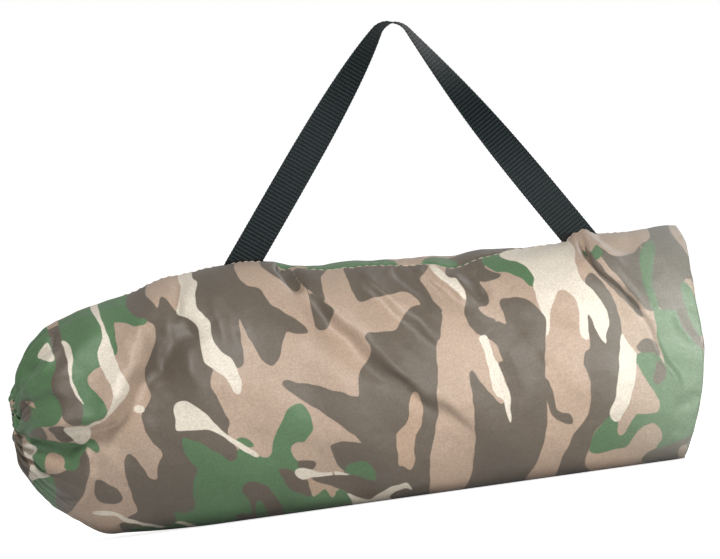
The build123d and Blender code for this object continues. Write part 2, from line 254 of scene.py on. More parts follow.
# ---- The print, as the front shows it: outlines painted in this order ----
PRINT = (
    (
        "brown",
        (
            "101,188 101,200 119,200 119,187 124,181 127,176 131,183 134,183 139,175 143,169 150,165 156,160"
            " 158,150 157,140 159,130 164,125 161,113 164,101 169,88 171,80 169,71 175,56 173,51 168,50"
            " 160,57 150,65 140,71 134,72 133,65 138,55 142,47 138,38 136,28 136,18 130,14 119,14 120,7"
            " 110,4 98,7 80,15 91,20 88,33 86,47 86,58 89,66 93,64 99,53 104,45 109,44 111,52 117,64"
            " 111,73 106,83 105,95 109,102 114,108 113,117 111,128 118,140 123,152 125,162 122,166"
            " 117,169 111,171 106,177",
            "75,12 82,13 90,9 88,7 80,5 78,3 76,6",
            "157,198 157,210 190,210 191,198 194,190 200,184 208,180 213,174 217,166 228,158 238,148 242,143"
            " 240,142 232,143 225,145 222,140 219,130 213,122 209,121 204,127 199,138 194,152 190,162"
            " 189,150 189,130 188,124 183,123 180,130 175,136 168,145 167,152 165,162 160,168 158,175"
            " 159,185 161,192",
            "212,206 228,206 232,194 238,184 241,177 237,174 230,182 222,190 214,196",
            "238,190 250,189 263,188 258,183 257,176 258,165 252,170 245,177 240,184",
            "248,170 255,165 263,156 261,147 257,143 252,142 249,145 248,155",
            "217,104 221,106 231,103 246,98 262,91 275,86 276,96 279,106 285,112 289,118 289,126 286,132"
            " 292,134 308,133 316,139 321,146 327,150 335,149 343,145 347,142 346,132 343,123 340,119"
            " 338,100 335,78 332,58 326,42 322,25 318,0 317,-8 280,-8 275,3 266,5 256,11 247,18 238,22"
            " 229,29 241,28 256,28 251,37 249,45 248,51 255,53 265,51 272,50 266,58 258,67 248,76 235,87"
            " 224,97",
            "278,190 300,190 320,190 341,190 341,178 335,170 338,162 343,152 348,143 340,146 334,150 331,156"
            " 325,161 318,163 308,162 298,162 291,160 285,161 281,168 279,178",
            "356,170 360,182 370,182 385,182 388,175 386,172 390,168 398,165 393,163 385,162 380,162 383,155"
            " 386,147 383,143 377,143 378,138 383,133 388,130 383,124 379,120 374,122 370,128 367,136"
            " 367,144 369,152 368,160 364,167",
            "395,145 402,146 412,144 420,139 426,130 427,122 424,105 421,85 420,66 417,45 411,26 402,11"
            " 392,0 390,-8 335,-8 344,0 352,8 357,22 361,42 363,62 363,84 365,94 369,87 376,75 384,65"
            " 388,68 391,82 387,92 387,97 391,98 389,108 384,116 379,120 384,126 391,129 398,126 396,136",
            "464,153 468,156 473,152 478,143 483,132 485,119 484,105 482,93 478,76 475,62 468,46 459,38"
            " 451,29 447,18 442,8 446,0 446,-8 418,-8 423,8 431,23 441,36 450,46 455,60 456,74 453,86"
            " 455,95 460,100 460,120 462,127 466,117 471,102 475,108 476,120 474,131 468,141 464,148",
            "419,79 423,77 425,66 426,56 430,51 436,49 437,44 434,43 428,46 423,52 421,62 420,70",
            "489,3 491,8 499,12 508,14 517,18 530,22 532,14 520,12 516,6 517,-6 500,-6",
            "476,176 481,172 487,167 497,165 505,167 510,171 508,160 508,146 511,132 513,121 508,122"
            " 503,129 495,142 487,155 480,166",
            "512,172 519,177 519,195 533,195 535,180 541,168 546,155 546,143 540,142 537,133 538,122 541,108"
            " 546,96 545,86 539,95 533,106 528,117 521,119 516,127 514,137 514,148 517,160 520,168",
            "36,168 42,171 48,172 49,163 50,155 52,147 52,138 53,129 56,119 60,109 60,99 55,95 48,97"
            " 43,102 42,111 38,118 36,126 39,135 42,145 42,153 39,160",
            "12,91 17,97 24,97 27,92 27,87 20,88",
            "31,95 42,95 45,90 48,84 42,82 37,85 34,90",
            "26,57 33,59 42,60 48,65 52,76 56,76 58,66 56,54 51,43 44,34 35,26 29,24 26,32 28,44",
            "-3,90 5,92 7,82 7,74 10,66 8,57 3,60 -3,75",
            "60,46 62,49 66,48 75,41 79,35 79,31 74,30 66,31 61,34 59,40",
        ),
    ),
    (
        "green",
        (
            "48,173 48,190 76,190 76,182 80,172 82,162 80,156 77,148 77,139 71,136 66,132 66,126 71,117"
            " 77,109 78,102 70,97 58,95 60,104 60,111 56,120 53,129 54,137 57,146 55,156 50,161 49,167",
            "79,183 79,198 102,198 103,182 106,176 111,171 118,169 116,166 108,166 98,170 92,171 92,163"
            " 92,152 90,145 88,150 87,160 84,168 81,176",
            "134,73 140,71 150,65 160,57 168,50 173,51 175,57 178,59 185,55 190,51 198,49 204,60 210,72"
            " 218,83 224,87 230,86 235,76 234,66 229,59 221,58 216,55 217,47 222,41 222,36 217,33 220,28"
            " 228,22 226,14 232,16 238,19 241,12 246,13 250,15 256,10 257,3 262,-3 250,-10 137,-10"
            " 118,2 122,8 119,14 130,14 136,18 136,28 138,38 142,47 138,55 133,65",
            "257,28 259,33 265,35 272,34 277,29 279,23 276,18 270,21 262,25",
            "386,176 389,184 397,184 400,178 406,174 414,172 420,166 424,158 423,153 419,154 413,161"
            " 404,166 395,168 389,172",
            "449,20 451,27 458,35 465,42 469,44 472,40 471,31 473,26 478,28 483,36 488,41 495,41 504,40"
            " 507,46 506,55 501,66 496,78 494,87 499,90 507,88 512,84 515,76 517,72 516,85 513,98"
            " 513,112 514,121 521,119 529,118 532,106 539,94 547,84 556,75 556,40 538,28 528,20 513,15"
            " 501,13 506,20 506,27 502,33 496,34 489,31 484,25 478,19 470,17 458,16 451,17",
            "509,165 513,171 518,174 521,173 520,164 516,152 514,140 516,128 516,121 512,123 510,135"
            " 508,148 508,158",
            "537,138 542,136 546,125 549,100 546,96 541,108 538,122",
            "465,174 470,172 477,176 479,170 474,166 470,168",
            "2,112 3,125 6,138 12,152 22,165 34,176 40,166 40,160 42,148 39,135 36,126 38,119 42,112"
            " 41,103 34,97 22,98 13,92 6,93 2,100",
            "10,90 22,87 35,83 48,80 58,78 52,70 48,62 42,60 38,62 39,70 36,74 28,75 24,74 21,79",
            "14,71 16,78 20,79 25,74 24,65 22,61 18,64",
            "6,52 17,57 25,58 28,52 27,42 25,31 18,32 8,42",
            "56,80 60,82 65,80 67,75 65,72 61,76",
            "49,90 51,92 54,91 52,89",
            "80,4 90,7 100,5 112,4 122,8 124,-8 80,-8",
            "176,66 180,67 185,64 187,60 183,60 179,63",
        ),
    ),
    (
        "brown over green",
        (
            "174,26 178,31 185,31 193,26 199,17 203,7 204,-8 193,-8 190,8 185,17 182,8 181,-8 174,-8 166,5"
            " 172,7 178,6 179,12 176,20",
            "205,39 213,37 218,31 226,26 226,14 220,16 213,20 208,28",
            "222,43 230,41 234,38 231,35 225,36 221,38",
            "10,118 16,118 18,112 17,105 12,102 9,106 9,113",
            "505,70 507,76 510,81 513,80 515,74 513,67 509,62 506,65",
            # This strip along the tuck is painted shade: a dark patch laid in the fold's crease
            "467,178 474,166 483,152 493,139 501,127 504,118 499,120 489,134 479,147 471,160",
            "495,94 499,99 505,100 510,97 513,90 512,85 507,89 500,89",
            "229,29 241,28 255,27 263,25 270,21 279,17 276,6 266,5 256,11 247,18 238,22",
        ),
    ),
    (
        "cream",
        (
            "75,182 75,196 80,196 81,183 84,169 87,158 89,145 92,135 96,126 98,118 95,113 88,106 80,99"
            " 70,94 60,91 58,93 66,95 73,97 79,102 83,108 84,115 83,123 79,132 77,140 77,148 80,156"
            " 82,163 80,172",
            "42,94 50,94 60,93 63,90 62,84 57,80 50,81 45,87",
            "130,80 130,90 130,98 133,102 140,102 147,98 154,91 160,82 168,72 175,67 185,58 191,52 189,50"
            " 180,57 170,66 160,75 150,78 140,79",
            "54,25 57,22 70,19 80,13 92,8 106,4 109,5 100,8 90,11 80,17 68,23 60,25",
            "99,101 102,104 106,103 107,99 104,97 100,98",
            "142,170 145,180 148,190 146,196 146,210 158,210 158,196 161,192 158,182 159,172 163,166"
            " 167,160 167,150 170,142 176,134 182,126 185,112 184,104 182,102 178,106 174,115 168,121"
            " 162,126 158,133 157,142 158,152 156,160 150,165",
            "216,34 219,37 224,37 232,34 240,31 250,30 260,26 252,27 240,28 232,29 224,27 218,30",
            "342,182 350,177 357,169 363,168 366,162 368,154 367,149 361,157 354,165 347,173",
            "374,117 377,120 380,120 382,112 384,103 387,92 390,80 392,70 391,58 390,50 388,52 387,62"
            " 386,69 381,73 379,82 378,95 377,108",
            "400,181 410,190 430,190 447,190 458,178 458,166 459,155 464,148 470,139 475,130 476,118"
            " 474,106 471,101 466,112 462,126 460,118 459,106 454,109 453,116 455,128 452,140 447,146"
            " 441,145 436,139 432,128 429,116 426,112 428,124 426,133 423,143 422,152 424,159 420,167"
            " 413,173 405,175",
            "485,107 489,98 494,91 493,80 489,65 483,51 477,42 471,39 467,45 472,55 476,66 479,80 482,94",
            "49,161 52,160 56,154 57,145 55,138 54,131 57,121 61,110 59,112 54,121 52,130 52,138 53,146"
            " 51,155",
            "29,151 31,156 37,161 40,157 42,149 38,147 32,149",
            "7,81 11,85 17,83 18,79 14,74 14,69 10,73",
            "7,56 10,65 13,68 19,62 26,57 17,56 9,54",
            "118,7 123,8 130,4 138,-3 130,-3 125,4",
            "255,11 261,8 270,4 276,6 281,8 288,11 296,13 303,13 306,7 301,9 294,7 288,4 289,1 292,-8"
            " 262,-8 257,4",
        ),
    ),
    (
        "tan over all",
        (
            "298,28 299,45 300,54 308,60 311,66 313,76 318,84 322,80 323,70 321,60 315,50 312,40 311,30"
            " 307,24 301,27",
            "227,27 232,25 240,19 247,16 246,12 242,10 239,17 232,15 227,14",
            "24,71 27,75 33,75 38,70 38,64 33,60 26,60 23,65",
            "14,117 18,118 21,116 22,111 19,113",
        ),
    ),
)

# The front's print turns into the back's over this width, each side of the underside's middle
PRINT_BLEND = 20.0

# The cloth just behind the seam, seen over the top: (station, distance behind the seam)
STRIP_PRINT = {
    "brown": ("361,-6 394,-9 428,-6 436,8 424,26 396,34 368,28 356,12",),
    "green": (
        "222,-6 268,-9 312,-6 317,8 304,26 270,36 236,26",
        "342,-6 352,-8 361,-6 365,8 356,24 345,18 339,6",
    ),
    "cream": ("428,-6 456,-9 484,-6 500,8 474,26 444,20",),
}


def numbers(text):
    """The points of an outline written as station,height pairs."""
    return np.array([[float(n) for n in pair.split(",")] for pair in text.split()])


def smooth_line(points, steps, closed=False):
    """A Catmull-Rom curve through the points."""
    if closed:
        padded = np.vstack([points[-1:], points, points[:2]])
    else:
        padded = np.vstack([points[:1], points, points[-1:]])
    t = np.linspace(0, 1, steps, endpoint=False)[:, None]
    line = []
    for a, b, c, d in zip(padded, padded[1:], padded[2:], padded[3:]):
        bend = (2 * a - 5 * b + 4 * c - d) * t**2 + (3 * b - a - 3 * c + d) * t**3
        line.append(0.5 * (2 * b + (c - a) * t + bend))
    if not closed:
        line.append(points[-1:])
    return np.vstack(line)


def profile(points, at):
    """A smooth curve through (place, value) points, read at the places in at."""
    points = np.array(points, float)
    line = smooth_line(points, 12)
    return np.interp(at, line[:, 0], line[:, 1])


def smoothstep(low, high, value):
    t = np.clip((value - low) / (high - low), 0, 1)
    return t * t * (3 - 2 * t)


def to_line(points, px, pz):
    """For each place: its distance to a line, the side it is on, and how far along it is, 0 to 1."""
    start, end = points[:-1], points[1:]
    run = end - start
    length = np.hypot(run[:, 0], run[:, 1])
    begins = np.concatenate([[0], np.cumsum(length)])
    best = np.full(px.shape, np.inf)
    side = np.ones(px.shape)
    along = np.zeros(px.shape)
    for k in range(len(start)):
        dx, dz = px - start[k, 0], pz - start[k, 1]
        t = np.clip((dx * run[k, 0] + dz * run[k, 1]) / max(length[k] ** 2, 1e-9), 0, 1)
        gap = np.hypot(dx - t * run[k, 0], dz - t * run[k, 1])
        nearer = gap < best
        best = np.where(nearer, gap, best)
        side = np.where(nearer, np.sign(run[k, 0] * dz - run[k, 1] * dx + 1e-9), side)
        along = np.where(nearer, (begins[k] + t * length[k]) / begins[-1], along)
    return best, side, along


# ---- The bag's surface ----
def ring_table(u):
    """Station, centre height, radius and lean of the ring at each u, 0 at the mouth and 1 at the end."""
    top = np.array(TOP_LINE, float)
    base = profile(BASE_LINE, top[:, 0])
    body = np.column_stack([top[:, 0], (top[:, 1] + base) / 2, (top[:, 1] - base) / 2, 0 * base])
    rows = np.array([*NOSE, *body], float)
    steps = np.hypot(np.diff(rows[:, 0]), np.diff(rows[:, 2]))
    place = np.concatenate([[0], np.cumsum(steps)]) / steps.sum()
    return [profile(np.column_stack([place, rows[:, k]]), u) for k in range(4)]


def base_form(u, turn):
    """The smooth packed form: station, y and height at ring place u and angle turn round it."""
    s, centre, radius, lean = ring_table(u)
    radius = radius * (1 - 0.012 * smoothstep(530, END_STATION, s) ** 2)
    y = -radius * np.sin(turn)
    z = centre + radius * np.cos(turn)
    # The ground flattens the base, with a soft edge
    soft = GROUND_SOFTNESS
    z = np.where(z > 8, z, soft * np.log1p(np.exp(np.clip(z / soft, -30, 30))))
    rim = profile(END_RIM, z)
    s = s + lean * np.cos(turn) + rim * smoothstep(430, END_STATION, s) ** 1.5
    return s, y, z


def normals(s, y, z):
    """Outward normals of a grid of points, rings along axis 0 and angle along axis 1."""
    p = np.stack([s, y, z], -1)
    du = np.gradient(p, axis=0)
    dv = np.gradient(p, axis=1)
    n = np.cross(dv, du)
    n /= np.linalg.norm(n, axis=-1, keepdims=True) + 1e-9
    middle = n.shape[0] // 2, n.shape[1] // 4
    if n[middle][1] * y[middle] < 0:
        n = -n
    return n


def waves(s, h, seed, count, low, high, headings=(0, math.pi)):
    """Soft random waviness: a few plane waves, wavelengths from low to high, within the headings."""
    rng = np.random.default_rng(seed)
    total = np.zeros_like(s)
    for _ in range(count):
        length = rng.uniform(low, high)
        heading = rng.uniform(*headings)
        phase = rng.uniform(0, 2 * math.pi)
        total += np.sin(2 * math.pi * (s * math.cos(heading) + h * math.sin(heading)) / length + phase)
    return total / math.sqrt(count)


def fold_height(s, h):
    """How far the folds push the cloth out at a place on the front."""
    total = np.zeros_like(s)
    bent_s = s + 1.2 * waves(s, h, 11, 6, 18, 50)
    bent_h = h + 1.2 * waves(s, h, 12, 6, 18, 50)
    for kind, height, width, text in FOLDS:
        line = smooth_line(numbers(text), 6)
        reach = 3.2 * width + 4
        near = (s > line[:, 0].min() - reach) & (s < line[:, 0].max() + reach)
        near &= (h > line[:, 1].min() - reach) & (h < line[:, 1].max() + reach)
        gap, side, along = to_line(line, bent_s[near], bent_h[near])
        fade = smoothstep(0, 0.22, along) * (1 - smoothstep(0.72, 1, along))
        if kind == "step":
            shape = np.tanh(side * gap / (0.28 * width)) * np.exp(-((gap / (1.5 * width)) ** 1.4))
        elif kind == "tuck":
            fade = smoothstep(-0.05, 0.06, along) * (1 - smoothstep(0.8, 1, along))
            shape = -np.exp(-((gap / width) ** 4))
        elif kind == "valley":
            shape = -np.exp(-((gap / width) ** 2))
        else:
            shape = np.exp(-((gap / width) ** 1.7))
        total[near] += height * fade * shape
    return total * FOLD_GAIN


def pleats(s, turn):
    """Pleats that spread from the gathered mouth and fade along the nose."""
    near = np.exp(-np.clip(s - 6, 0, None) / 22)
    wide = np.abs(np.sin(turn * 8.5 + 1.3 * np.sin(turn * 3)))
    fine = np.abs(np.sin(turn * 15 + 2))
    return near * 4.8 * (wide + 0.6 * fine - 1.3)


def seam_puckers(s, arc):
    """Little ripples where the top seam's thread draws the cloth in."""
    ripple = np.sin(s / 9.5 * 2 * math.pi + 2.4 * np.sin(s / 17) + 1.7 * np.sin(s / 41) + arc * 0.2)
    strength = 0.55 + 0.45 * np.sin(s / 23 + 1)
    where = smoothstep(245, 290, s) * (1 - smoothstep(440, 455, s)) + 0.3
    return 0.36 * ripple * strength * where * np.exp(-((np.abs(arc) / 14) ** 2))


def surface():
    """The smooth form and its cloth as grids, rings along axis 0 and angle along axis 1.

    They are the form's points, its outward normals, the angle round the bag, the distance from
    the seam (negative behind it), and how far the cloth stands out from the form.
    """
    u = np.linspace(0, 1, GRID_ALONG)[:, None]
    v = np.linspace(0, 1, GRID_AROUND)[None, :]
    s_ring, _, radius, _ = ring_table(u)
    seam = np.radians(profile(SEAM_LINE, s_ring))
    turn = seam + 2 * math.pi * v
    s, y, z = base_form(u + 0 * v, turn)
    n = normals(s, y, z)
    arc = np.where(v < 0.5, v, v - 1) * 2 * math.pi * radius
    front = smoothstep(-0.125, 0.125, np.sin(turn))
    lift = fold_height(s, z) * front
    lift += 0.8 * fold_height(s + 14, z + 5) * (1 - front)
    drape = (math.radians(15), math.radians(60))
    lift += 1.1 * waves(s, z, 5, 9, 34, 80, drape) + 0.5 * waves(s, z, 3, 14, 20, 55)
    lift += 0.13 * waves(s, z, 4, 16, 7, 16)
    lift *= smoothstep(0.5, 14, z)
    # Behind the seam, no fold sinks as far as the strap's sewn ends
    to_foot = np.minimum(np.abs(s - LEFT_FOOT), np.abs(s - RIGHT_FOOT))
    over_tail = (1 - smoothstep(20, 34, to_foot)) * (1 - smoothstep(30, 46, -arc)) * (arc < 0)
    lift = np.where(lift < 0, lift * (1 - over_tail), lift)
    lift += pleats(s, turn) * smoothstep(0, 0.06, u)
    lift += seam_puckers(s, arc) * smoothstep(60, 110, s)
    peak = np.exp(-(((s - RIGHT_FOOT - 4) / 8) ** 2)) * np.exp(-((np.sin(turn / 2) / 0.09) ** 2))
    lift += 7.5 * peak
    return np.stack([s, y, z], -1), n, turn, arc, lift


def lowest_nearby(values, reach):
    """Each value becomes the lowest within reach cells, then the mean of those about it."""
    for combine in (np.minimum.reduce, lambda near: np.mean(near, axis=0)):
        for axis in (0, 1):
            values = combine([np.roll(values, k, axis) for k in range(-reach, reach + 1)])
    return values


def line_beside_seam(grid, arc, aside):
    """Along the bag, the grid's values at a distance in front of the seam, or behind if negative."""
    half = grid.shape[1] // 2
    part = slice(0, half) if aside > 0 else slice(None, half, -1)
    rows = zip(np.abs(arc[:, part]), grid[:, part])
    return np.array([[np.interp(abs(aside), a, row[:, k]) for k in range(3)] for a, row in rows])


def patch_field(s, h, outlines):
    """Signed distance to the nearest of the outlines, negative inside."""
    field = np.full(s.shape, 9.0)
    for text in outlines:
        line = smooth_line(numbers(text), 4, closed=True)
        closed = np.vstack([line, line[:1]])
        margin = 9
        near = (s > line[:, 0].min() - margin) & (s < line[:, 0].max() + margin)
        near &= (h > line[:, 1].min() - margin) & (h < line[:, 1].max() + margin)
        if not near.any():
            continue
        px, pz = s[near], h[near]
        gap = to_line(closed, px, pz)[0]
        inside = np.zeros(px.shape, bool)
        for (x0, z0), (x1, z1) in zip(closed[:-1], closed[1:]):
            if z0 != z1:
                inside ^= ((z0 > pz) != (z1 > pz)) & (px < (x1 - x0) * (pz - z0) / (z1 - z0) + x0)
        field[near] = np.minimum(field[near], np.where(inside, -gap, gap))
    return field


def print_fields(p, turn, arc):
    """One field for each layer of the print. The back wears the same print, turned end for end."""
    s, z = p[..., 0], p[..., 2]
    s = s + 0.5 * waves(s, z, 21, 8, 9, 24)
    z = z + 0.5 * waves(s, z, 22, 8, 9, 24)
    behind = np.where(arc < 0, -arc, np.inf)
    in_strip = (1 - smoothstep(26, 40, behind)) * smoothstep(205, 225, s)
    behind = np.minimum(behind, 100)
    radius = np.abs(arc).max(axis=1, keepdims=True) / math.pi
    blend = np.clip(PRINT_BLEND / (2 * math.pi * radius), 0.02, 0.3)
    back = smoothstep(0.5 - blend, 0.5 + blend, (turn - turn[:, :1]) / (2 * math.pi))
    fields = []
    for name, outlines in PRINT:
        front_field = patch_field(s, z, outlines)
        back_field = patch_field(END_STATION - s, 190 - z, outlines)
        strip_field = patch_field(s, behind, STRIP_PRINT.get(name, ()))
        back_field = back_field + (strip_field - back_field) * in_strip
        fields.append(front_field + (back_field - front_field) * back)
    return fields


# ---- Meshes ----
def new_mesh(name, vertices, faces, smooth=False):
    mesh = bpy.data.meshes.new(name)
    mesh.from_pydata(vertices, [], faces)
    mesh.polygons.foreach_set("use_smooth", [smooth] * len(faces))
    mesh.update()
    thing = bpy.data.objects.new(name, mesh)
    bpy.context.scene.collection.objects.link(thing)
    return thing


def to_row(p):
    """Points in stations and millimetres as points of the row frame, in metres."""
    q = np.array(p, float).reshape(-1, 3)
    q[:, 0] += MOUTH_X
    return q * MM


def grid_faces(rows, columns, wrap=False):
    r = np.arange(rows - 1)[:, None]
    c = np.arange(columns if wrap else columns - 1)[None, :]
    a = r * columns + c
    b = r * columns + (c + 1) % columns
    return np.stack([a, b, b + columns, a + columns], -1).reshape(-1, 4).tolist()


def closed_tube_faces(rows, columns, flipped=False):
    """The faces of a tube of rings, and a face at each end. Flipped, the end faces turn over."""
    first = list(range(columns))
    last = [(rows - 1) * columns + c for c in range(columns)]
    ends = (first, last[::-1]) if flipped else (first[::-1], last)
    return grid_faces(rows, columns, wrap=True) + list(ends)


def grid_object(name, p, capped=False):
    """A mesh of a grid of points. Capped, its first row is a small ring that one face closes."""
    rows, columns = p.shape[:2]
    faces = grid_faces(rows, columns)
    if capped:
        faces.append(list(range(columns - 1))[::-1])
    return new_mesh(name, to_row(p).tolist(), faces, smooth=True)


def add_field(thing, name, values):
    attribute = thing.data.attributes.new(name, "FLOAT", "POINT")
    attribute.data.foreach_set("value", np.asarray(values, np.float32).ravel())


def uv_map(thing, u, v):
    """A UV map from a value pair for every vertex."""
    layer = thing.data.uv_layers.new(name="UVMap")
    corners = np.zeros(len(thing.data.loops), int)
    thing.data.loops.foreach_get("vertex_index", corners)
    uv = np.stack([np.asarray(u).ravel()[corners], np.asarray(v).ravel()[corners]], -1)
    layer.data.foreach_set("uv", uv.ravel().astype(np.float32))


# ---- Materials ----
def new_material(name):
    material = bpy.data.materials.new(name)
    material.use_nodes = True
    nodes = material.node_tree.nodes
    return material, nodes, material.node_tree.links, nodes["Principled BSDF"]


def linear(red, green, blue):
    """A display colour, 0 to 255, as a linear one."""
    def one(c):
        c /= 255
        return c / 12.92 if c <= 0.04045 else ((c + 0.055) / 1.055) ** 2.4
    return (one(red), one(green), one(blue), 1)


def mixed(nodes, links, factor, first, second, blend="MIX"):
    """A colour mix. Each input is a socket, a colour or a number."""
    mix = nodes.new("ShaderNodeMix")
    mix.data_type = "RGBA"
    mix.blend_type = blend
    for socket, value in ((mix.inputs[0], factor), (mix.inputs[6], first), (mix.inputs[7], second)):
        if isinstance(value, bpy.types.NodeSocket):
            links.new(value, socket)
        else:
            socket.default_value = value
    return mix.outputs[2]


def noise(nodes, links, place, scale, detail, roughness=0.5):
    """Noise over the places that a socket gives."""
    node = nodes.new("ShaderNodeTexNoise")
    node.inputs["Scale"].default_value = scale
    node.inputs["Detail"].default_value = detail
    node.inputs["Roughness"].default_value = roughness
    links.new(place, node.inputs["Vector"])
    return node


def ribs(nodes, links, place, direction):
    """Fine straight waves in one direction, a set of yarns."""
    node = nodes.new("ShaderNodeTexWave")
    node.bands_direction = direction
    node.inputs["Scale"].default_value = 380
    node.inputs["Distortion"].default_value = 0.6
    links.new(place, node.inputs["Vector"])
    return node.outputs["Color"]


def bump(nodes, links, shader, height, strength, distance_m):
    """Fine relief on a shader's surface."""
    node = nodes.new("ShaderNodeBump")
    node.inputs["Strength"].default_value = strength
    node.inputs["Distance"].default_value = distance_m
    links.new(height, node.inputs["Height"])
    links.new(node.outputs[0], shader.inputs["Normal"])


def ranged(nodes, links, value, low, high, to_low=0.0, to_high=1.0, smooth=False):
    """A value carried from one range to another, and held inside it."""
    node = nodes.new("ShaderNodeMapRange")
    node.interpolation_type = "SMOOTHSTEP" if smooth else "LINEAR"
    links.new(value, node.inputs[0])
    for k, number in enumerate((low, high, to_low, to_high), start=1):
        node.inputs[k].default_value = number
    return node.outputs[0]


PRINT_COLOURS = (
    ("brown", linear(95, 85, 73)),
    ("green", linear(80, 112, 75)),
    ("brown over green", linear(94, 81, 69)),
    ("cream", linear(211, 201, 185)),
    ("tan over all", linear(172, 147, 125)),
)
TAN = linear(170, 148, 129)
PAINTED_GLARE_SHARE = 0.2  # the share of painted glare, a pale wash of light mixed into the print at the panel end
PAINTED_GLARE_FROM_TO_M = (0.17, 0.27)
OVERPRINT = 0.6  # how far the darker inks run under their neighbours' edges


def cloth_material():
    """Printed polyester: crisp-edged patches, a fine woven grain and a slight sheen."""
    material, nodes, links, shader = new_material("camouflage cloth")
    place = nodes.new("ShaderNodeTexCoord").outputs
    colour = None
    for layer, (ink, paint) in enumerate(PRINT_COLOURS):
        field = nodes.new("ShaderNodeAttribute")
        field.attribute_name = f"print_{layer}"
        edge = OVERPRINT if ink in ("brown", "green") else 0.0
        mask = ranged(nodes, links, field.outputs["Fac"], edge + 0.4, edge - 0.4, smooth=True)
        colour = mixed(nodes, links, mask, colour or TAN, paint)
    blotch = noise(nodes, links, place["Object"], 9, 4)
    # The print is paler towards the panel end
    where = nodes.new("ShaderNodeSeparateXYZ")
    # Painted glare: towards the panel end the print is mixed with pale grey, standing for a wash of light
    # there
    links.new(place["Object"], where.inputs[0])
    painted_glare = ranged(nodes, links, where.outputs["X"], *PAINTED_GLARE_FROM_TO_M, 0.0, PAINTED_GLARE_SHARE, smooth=True)
    colour = mixed(nodes, links, painted_glare, colour, linear(214, 219, 208))
    tone = ranged(nodes, links, blotch.outputs[0], 0.3, 0.7, 0.93, 1.06)
    colour = mixed(nodes, links, 1.0, colour, tone, "MULTIPLY")
    grain = noise(nodes, links, place["Object"], 620, 4, roughness=0.7)
    speckle = ranged(nodes, links, grain.outputs[0], 0.3, 0.7, 0.81, 1.19)
    colour = mixed(nodes, links, 1.0, colour, speckle, "MULTIPLY")
    links.new(colour, shader.inputs["Base Color"])
    shader.inputs["Roughness"].default_value = 0.5
    shader.inputs["Specular IOR Level"].default_value = 0.6
    shader.inputs["Sheen Weight"].default_value = 0.15
    shader.inputs["Sheen Roughness"].default_value = 0.4
    yarns = ribs(nodes, links, place["UV"], "X"), ribs(nodes, links, place["UV"], "Y")
    weave = mixed(nodes, links, 0.5, *yarns)
    relief = mixed(nodes, links, 0.5, weave, grain.outputs["Color"])
    bump(nodes, links, shader, relief, 0.35, 0.0004)
    return material


def webbing_material():
    """Black polypropylene webbing: ribs along it, crossed by picks, with a cool highlight painted on the
    ribs.
    """
    material, nodes, links, shader = new_material("black webbing")
    place = nodes.new("ShaderNodeTexCoord").outputs
    height = nodes.new("ShaderNodeAttribute")
    height.attribute_name = "rib"
    fibre = noise(nodes, links, place["Object"], 900, 3)
    # Painted highlight: the raised ribs take a pale teal-grey into their colour, standing for their shine
    rib_highlight_share = ranged(nodes, links, height.outputs["Fac"], 0.3, 1.0)
    colour = mixed(nodes, links, rib_highlight_share, linear(2, 3, 4), linear(38, 52, 54))
    speckle = ranged(nodes, links, fibre.outputs[0], 0.35, 0.65, 0.7, 1.25)
    colour = mixed(nodes, links, 1.0, colour, speckle, "MULTIPLY")
    links.new(colour, shader.inputs["Base Color"])
    shader.inputs["Roughness"].default_value = 0.55
    shader.inputs["Specular IOR Level"].default_value = 0.2
    bump(nodes, links, shader, fibre.outputs[0], 0.4, 0.0003)
    return material


def plain_fibre_material(name, light, dark, scale, roughness):
    """Thread, cord and filling: two tones of fibre over a fine bump."""
    material, nodes, links, shader = new_material(name)
    place = nodes.new("ShaderNodeTexCoord").outputs
    fibre = noise(nodes, links, place["Object"], scale, 5)
    share = ranged(nodes, links, fibre.outputs[0], 0.35, 0.65)
    links.new(mixed(nodes, links, share, dark, light), shader.inputs["Base Color"])
    shader.inputs["Roughness"].default_value = roughness
    shader.inputs["Sheen Weight"].default_value = 0.2
    bump(nodes, links, shader, fibre.outputs[0], 0.5, 0.0005)
    return material


CLOTH = cloth_material()
WEBBING = webbing_material()
THREAD = plain_fibre_material("thread", linear(214, 200, 182), linear(150, 135, 118), 2200, 0.6)
CORD = plain_fibre_material("cord", linear(46, 46, 48), linear(14, 14, 15), 1400, 0.6)
FILLING = plain_fibre_material("filling", linear(128, 124, 116), linear(84, 82, 78), 240, 0.9)


def dress(thing, material):
    thing.data.materials.clear()
    thing.data.materials.append(material)


def thicken(cloth):
    """Give a sheet its thickness, inwards."""
    solid = cloth.modifiers.new("cloth thickness", "SOLIDIFY")
    solid.thickness = CLOTH_THICKNESS * MM
    solid.offset = -1


# ---- Pieces ----
def make_cloth(form, n, turn, arc, lift):
    """The tube of cloth, its seam edges rolled in."""
    edge = np.clip(1 - np.abs(arc) / SEAM_ROLL, 0, 1)
    roll = SEAM_ROLL * (1 - np.sqrt(1 - edge**2))
    p = form + n * (lift - roll)[..., None]
    p[..., 2] = np.maximum(p[..., 2], 0)
    # The seam allowance: each edge of the tube turns straight in
    depth = np.array(SEAM_FOLD)[None, :, None]
    first_edge = p[:, :1] - n[:, :1] * depth
    last_edge = p[:, -1:] - n[:, -1:] * depth[:, ::-1]
    folded = np.concatenate([first_edge, p, last_edge], 1)
    extra = ((0, 0), (len(SEAM_FOLD), len(SEAM_FOLD)))
    cloth = grid_object("body_cloth_print", folded)
    for layer, field in enumerate(print_fields(p, turn, arc)):
        add_field(cloth, f"print_{layer}", np.pad(field, extra, mode="edge"))
    # The girth's mean radius is about 100, so an angle times 100 is a length
    around = np.pad(turn, extra, mode="edge") * 100
    uv_map(cloth, folded[..., 0] * MM, around * MM)
    thicken(cloth)
    dress(cloth, CLOTH)
    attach(cloth, "bag")
    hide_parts("body_cloth", "top_seam_allowance")
    return cloth, p


